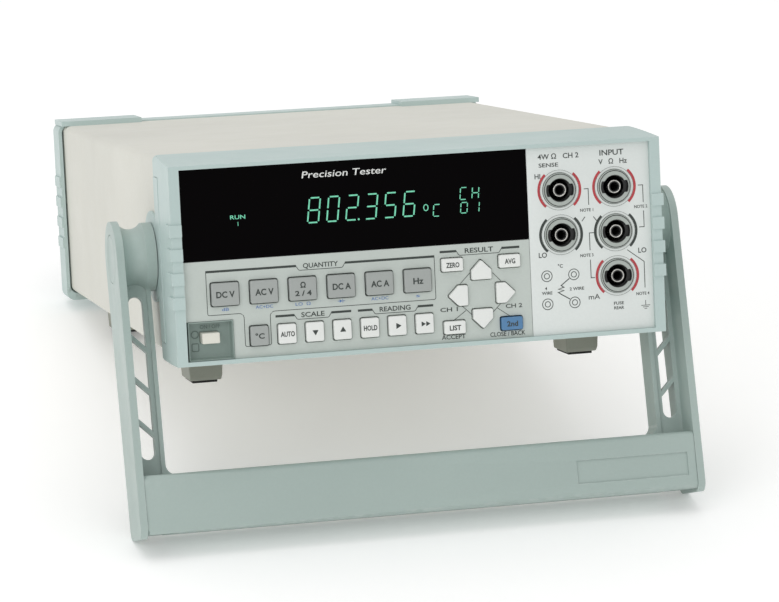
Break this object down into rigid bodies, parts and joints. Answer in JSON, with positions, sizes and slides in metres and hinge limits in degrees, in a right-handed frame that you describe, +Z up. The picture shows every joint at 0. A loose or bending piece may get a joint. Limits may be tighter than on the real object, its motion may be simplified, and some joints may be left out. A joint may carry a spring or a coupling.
{
  "type": "bench multimeter",
  "caption": "Half-width bench multimeter with a display window, push keys and safety jacks, tilted up on a slotted swing handle.",
  "frame": {"origin": "on the surface it stands on, under the middle of its bounding box", "axes": "+X to the right of a person who faces the panel, +Y from the face towards the rear, +Z up"},
  "size_m": [0.248, 0.3444, 0.1633],
  "materials": {
    "bezel_plastic": "fine moulded grain, pale blue-green",
    "handle_plastic": "fine moulded grain, grey-green",
    "panel_plastic": "fine grain, light grey-green, printed",
    "jack_panel_plastic": "fine grain, off-white, printed",
    "window_acrylic": "black filter, smooth",
    "sleeve_paint": "fine textured cream paint",
    "zinc_steel": "zinc plated",
    "foot_plastic": "taupe, satin",
    "pad_rubber": "matt black",
    "shroud_plastic": "grey ring round a black well",
    "contact_nickel": "nickel plated",
    "tube_glass": "glass envelope of the display tube, dark behind the filter",
    "board_laminate": "green solder mask",
    "mat_silicone": "grey silicone",
    "core_iron": "varnished laminations and winding",
    "black_plastic": "satin black",
    "relay_plastic": "satin ivory",
    "key_grey_plastic": "satin, printed",
    "key_white_plastic": "satin, printed",
    "key_blue_plastic": "satin, printed",
    "key_cream_plastic": "satin"
  },
  "bodies": {
    "instrument": {"front_bezel": "bezel_plastic", "key_panel": "panel_plastic", "display_window": "window_acrylic", "jack_panel": "jack_panel_plastic", "power_surround": "bezel_plastic", "case_sleeve": "sleeve_paint", "chassis_tray": "zinc_steel", "rear_panel": "zinc_steel", "rear_frame": "bezel_plastic", "rear_frame_screws": "zinc_steel", "side_bracket_left": "bezel_plastic", "side_bracket_right": "bezel_plastic", "pivot_screws": "zinc_steel", "feet": "foot_plastic", "foot_pads": "pad_rubber", "jack_shrouds": "shroud_plastic", "jack_contacts": "contact_nickel", "display_tube": "tube_glass", "front_board": "board_laminate", "key_mat": "mat_silicone", "main_board": "board_laminate", "transformer": "core_iron", "shield_can": "zinc_steel", "capacitors": "black_plastic", "relays": "relay_plastic", "power_switch": "black_plastic", "ribbon_cable": "relay_plastic", "mains_inlet": "black_plastic", "fuse_holders": "black_plastic", "interface_connector": "zinc_steel", "trigger_sockets": "zinc_steel", "rear_shrouds": "shroud_plastic", "rear_contacts": "contact_nickel"},
    "handle": {"handle_arm_left": "handle_plastic", "handle_arm_right": "handle_plastic", "handle_crossbar": "handle_plastic", "handle_screws": "zinc_steel", "hub_caps": "handle_plastic"},
    "key_power": {"key_power": "key_cream_plastic"},
    "key_dc_volts": {"key_dc_volts": "key_grey_plastic"},
    "key_ac_volts": {"key_ac_volts": "key_grey_plastic"},
    "key_ohms": {"key_ohms": "key_grey_plastic"},
    "key_dc_amps": {"key_dc_amps": "key_grey_plastic"},
    "key_ac_amps": {"key_ac_amps": "key_grey_plastic"},
    "key_frequency": {"key_frequency": "key_grey_plastic"},
    "key_temperature": {"key_temperature": "key_grey_plastic"},
    "key_auto": {"key_auto": "key_white_plastic"},
    "key_down": {"key_down": "key_white_plastic"},
    "key_up": {"key_up": "key_white_plastic"},
    "key_hold": {"key_hold": "key_white_plastic"},
    "key_trigger": {"key_trigger": "key_white_plastic"},
    "key_rate": {"key_rate": "key_white_plastic"},
    "key_null": {"key_null": "key_white_plastic"},
    "key_smoothing": {"key_smoothing": "key_white_plastic"},
    "key_menu": {"key_menu": "key_white_plastic"},
    "key_shift": {"key_shift": "key_blue_plastic"},
    "arrow_up": {"arrow_up": "key_white_plastic"},
    "arrow_left": {"arrow_left": "key_white_plastic"},
    "arrow_right": {"arrow_right": "key_white_plastic"},
    "arrow_down": {"arrow_down": "key_white_plastic"}
  },
  "joints": [
    {"name": "handle_swing", "type": "hinge", "parent": "instrument", "child": "handle", "pos_m": [0, -0.10549, 0.11138], "axis": [-1, 0, 0], "range_deg": [-30, 215]},
    {"name": "press_power", "type": "slide", "parent": "instrument", "child": "key_power", "axis": [0, 0.9703, -0.2419], "range_m": [0, 0.002], "stiffness_N_per_m": 400},
    {"name": "press_dc_volts", "type": "slide", "parent": "instrument", "child": "key_dc_volts", "axis": [0, 0.9703, -0.2419], "range_m": [0, 0.001], "stiffness_N_per_m": 400},
    {"name": "press_ac_volts", "type": "slide", "parent": "instrument", "child": "key_ac_volts", "axis": [0, 0.9703, -0.2419], "range_m": [0, 0.001], "stiffness_N_per_m": 400},
    {"name": "press_ohms", "type": "slide", "parent": "instrument", "child": "key_ohms", "axis": [0, 0.9703, -0.2419], "range_m": [0, 0.001], "stiffness_N_per_m": 400},
    {"name": "press_dc_amps", "type": "slide", "parent": "instrument", "child": "key_dc_amps", "axis": [0, 0.9703, -0.2419], "range_m": [0, 0.001], "stiffness_N_per_m": 400},
    {"name": "press_ac_amps", "type": "slide", "parent": "instrument", "child": "key_ac_amps", "axis": [0, 0.9703, -0.2419], "range_m": [0, 0.001], "stiffness_N_per_m": 400},
    {"name": "press_frequency", "type": "slide", "parent": "instrument", "child": "key_frequency", "axis": [0, 0.9703, -0.2419], "range_m": [0, 0.001], "stiffness_N_per_m": 400},
    {"name": "press_temperature", "type": "slide", "parent": "instrument", "child": "key_temperature", "axis": [0, 0.9703, -0.2419], "range_m": [0, 0.001], "stiffness_N_per_m": 400},
    {"name": "press_auto", "type": "slide", "parent": "instrument", "child": "key_auto", "axis": [0, 0.9703, -0.2419], "range_m": [0, 0.001], "stiffness_N_per_m": 400},
    {"name": "press_down", "type": "slide", "parent": "instrument", "child": "key_down", "axis": [0, 0.9703, -0.2419], "range_m": [0, 0.001], "stiffness_N_per_m": 400},
    {"name": "press_up", "type": "slide", "parent": "instrument", "child": "key_up", "axis": [0, 0.9703, -0.2419], "range_m": [0, 0.001], "stiffness_N_per_m": 400},
    {"name": "press_hold", "type": "slide", "parent": "instrument", "child": "key_hold", "axis": [0, 0.9703, -0.2419], "range_m": [0, 0.001], "stiffness_N_per_m": 400},
    {"name": "press_trigger", "type": "slide", "parent": "instrument", "child": "key_trigger", "axis": [0, 0.9703, -0.2419], "range_m": [0, 0.001], "stiffness_N_per_m": 400},
    {"name": "press_rate", "type": "slide", "parent": "instrument", "child": "key_rate", "axis": [0, 0.9703, -0.2419], "range_m": [0, 0.001], "stiffness_N_per_m": 400},
    {"name": "press_null", "type": "slide", "parent": "instrument", "child": "key_null", "axis": [0, 0.9703, -0.2419], "range_m": [0, 0.001], "stiffness_N_per_m": 400},
    {"name": "press_smoothing", "type": "slide", "parent": "instrument", "child": "key_smoothing", "axis": [0, 0.9703, -0.2419], "range_m": [0, 0.001], "stiffness_N_per_m": 400},
    {"name": "press_menu", "type": "slide", "parent": "instrument", "child": "key_menu", "axis": [0, 0.9703, -0.2419], "range_m": [0, 0.001], "stiffness_N_per_m": 400},
    {"name": "press_shift", "type": "slide", "parent": "instrument", "child": "key_shift", "axis": [0, 0.9703, -0.2419], "range_m": [0, 0.001], "stiffness_N_per_m": 400},
    {"name": "press_arrow_up", "type": "slide", "parent": "instrument", "child": "arrow_up", "axis": [0, 0.9703, -0.2419], "range_m": [0, 0.001], "stiffness_N_per_m": 400},
    {"name": "press_arrow_left", "type": "slide", "parent": "instrument", "child": "arrow_left", "axis": [0, 0.9703, -0.2419], "range_m": [0, 0.001], "stiffness_N_per_m": 400},
    {"name": "press_arrow_right", "type": "slide", "parent": "instrument", "child": "arrow_right", "axis": [0, 0.9703, -0.2419], "range_m": [0, 0.001], "stiffness_N_per_m": 400},
    {"name": "press_arrow_down", "type": "slide", "parent": "instrument", "child": "arrow_down", "axis": [0, 0.9703, -0.2419], "range_m": [0, 0.001], "stiffness_N_per_m": 400}
  ]
}
